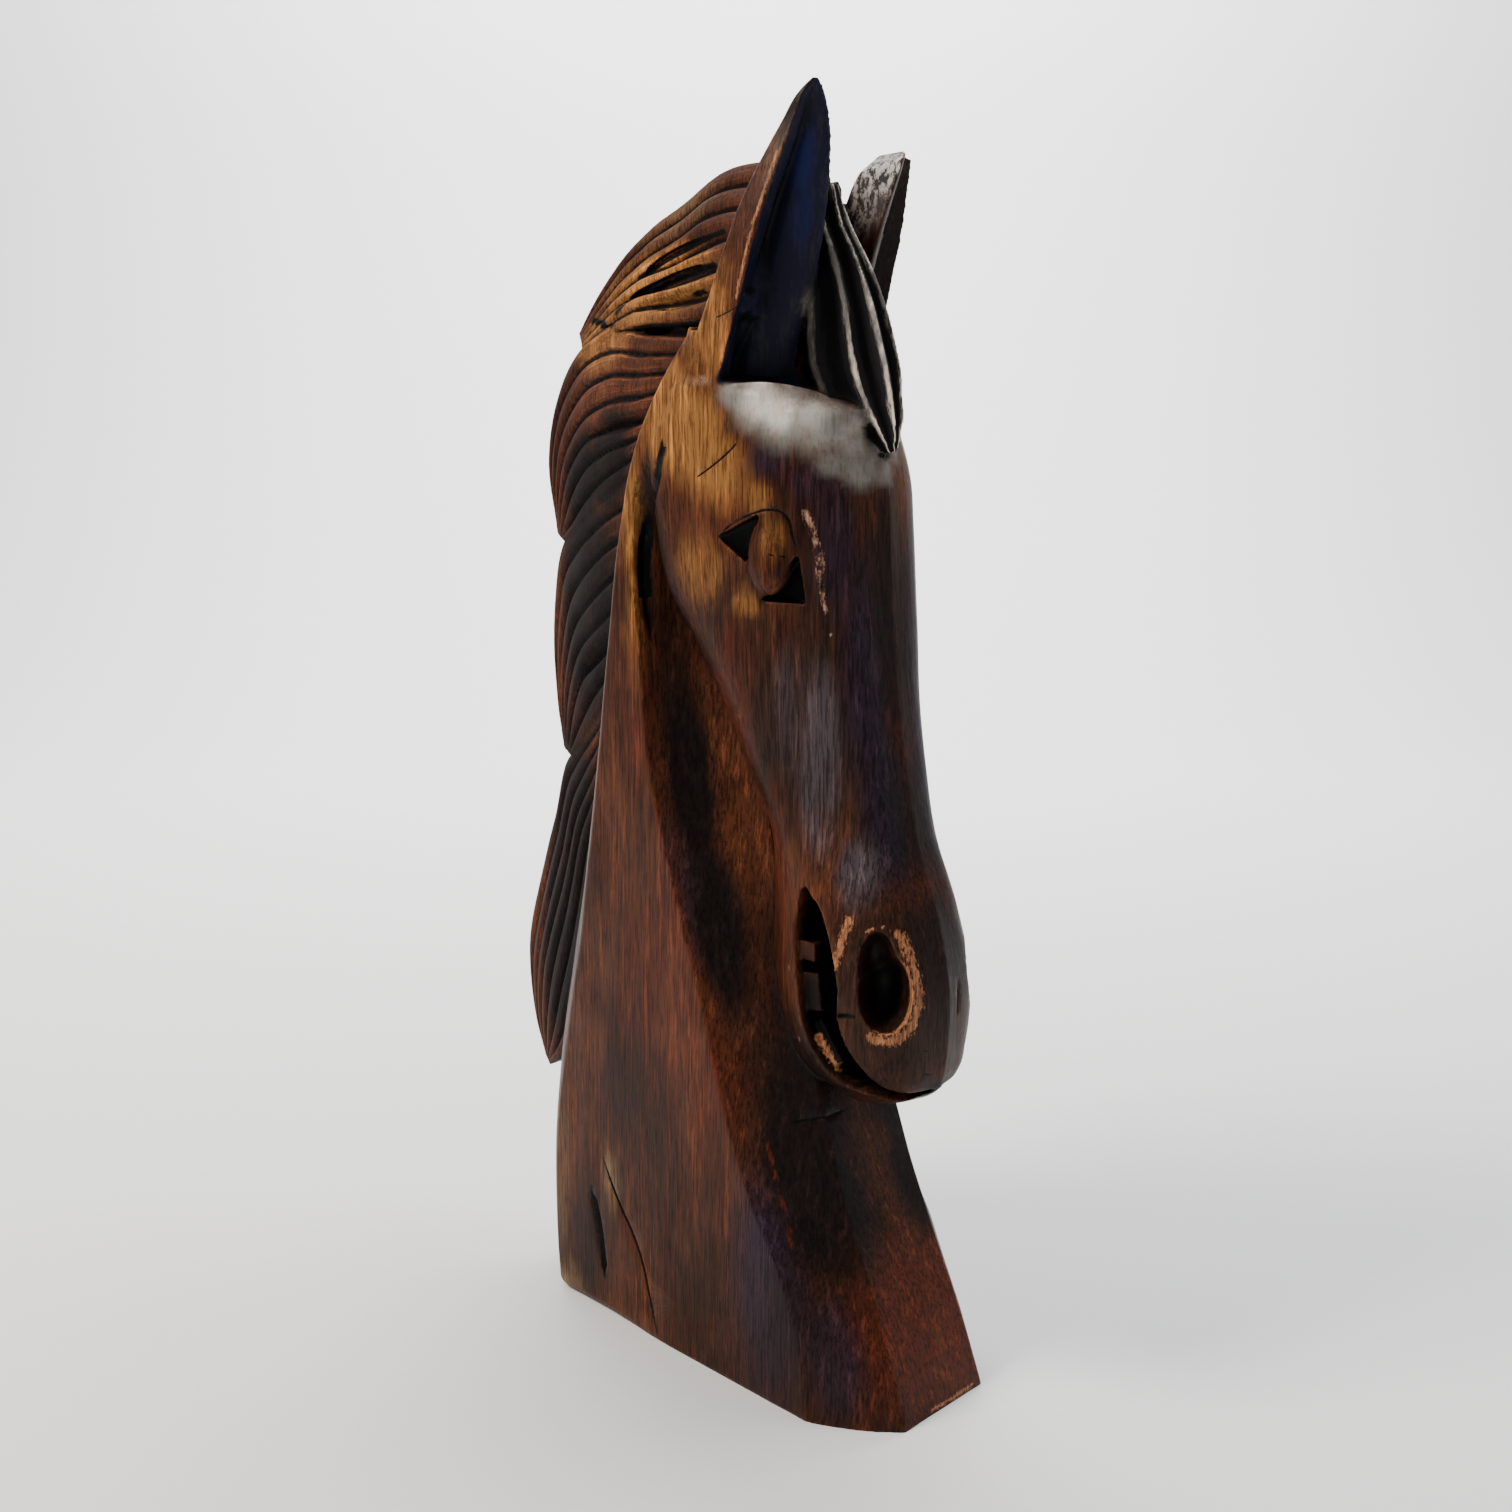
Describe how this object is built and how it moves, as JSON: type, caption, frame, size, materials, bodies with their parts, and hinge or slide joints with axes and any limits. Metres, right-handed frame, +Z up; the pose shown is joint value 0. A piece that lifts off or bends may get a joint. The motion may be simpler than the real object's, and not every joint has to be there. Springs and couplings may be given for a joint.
{
  "type": "horse head sculpture",
  "caption": "Tall carved wooden horse head and neck with a grooved mane and forelock, pricked ears and an open mouth, cut in one piece with its flat boat-shaped foot.",
  "frame": {"origin": "middle of the flat underside of the foot, on the figure's plane of symmetry", "axes": "+Z up, the horse faces -Y and its left side is +X"},
  "size_m": [0.1094, 0.3027, 0.6],
  "materials": {
    "wood": "dark red-brown stain with a worn satin varnish"
  },
  "bodies": {
    "root": {"horse_head": "wood"}
  },
  "joints": []
}
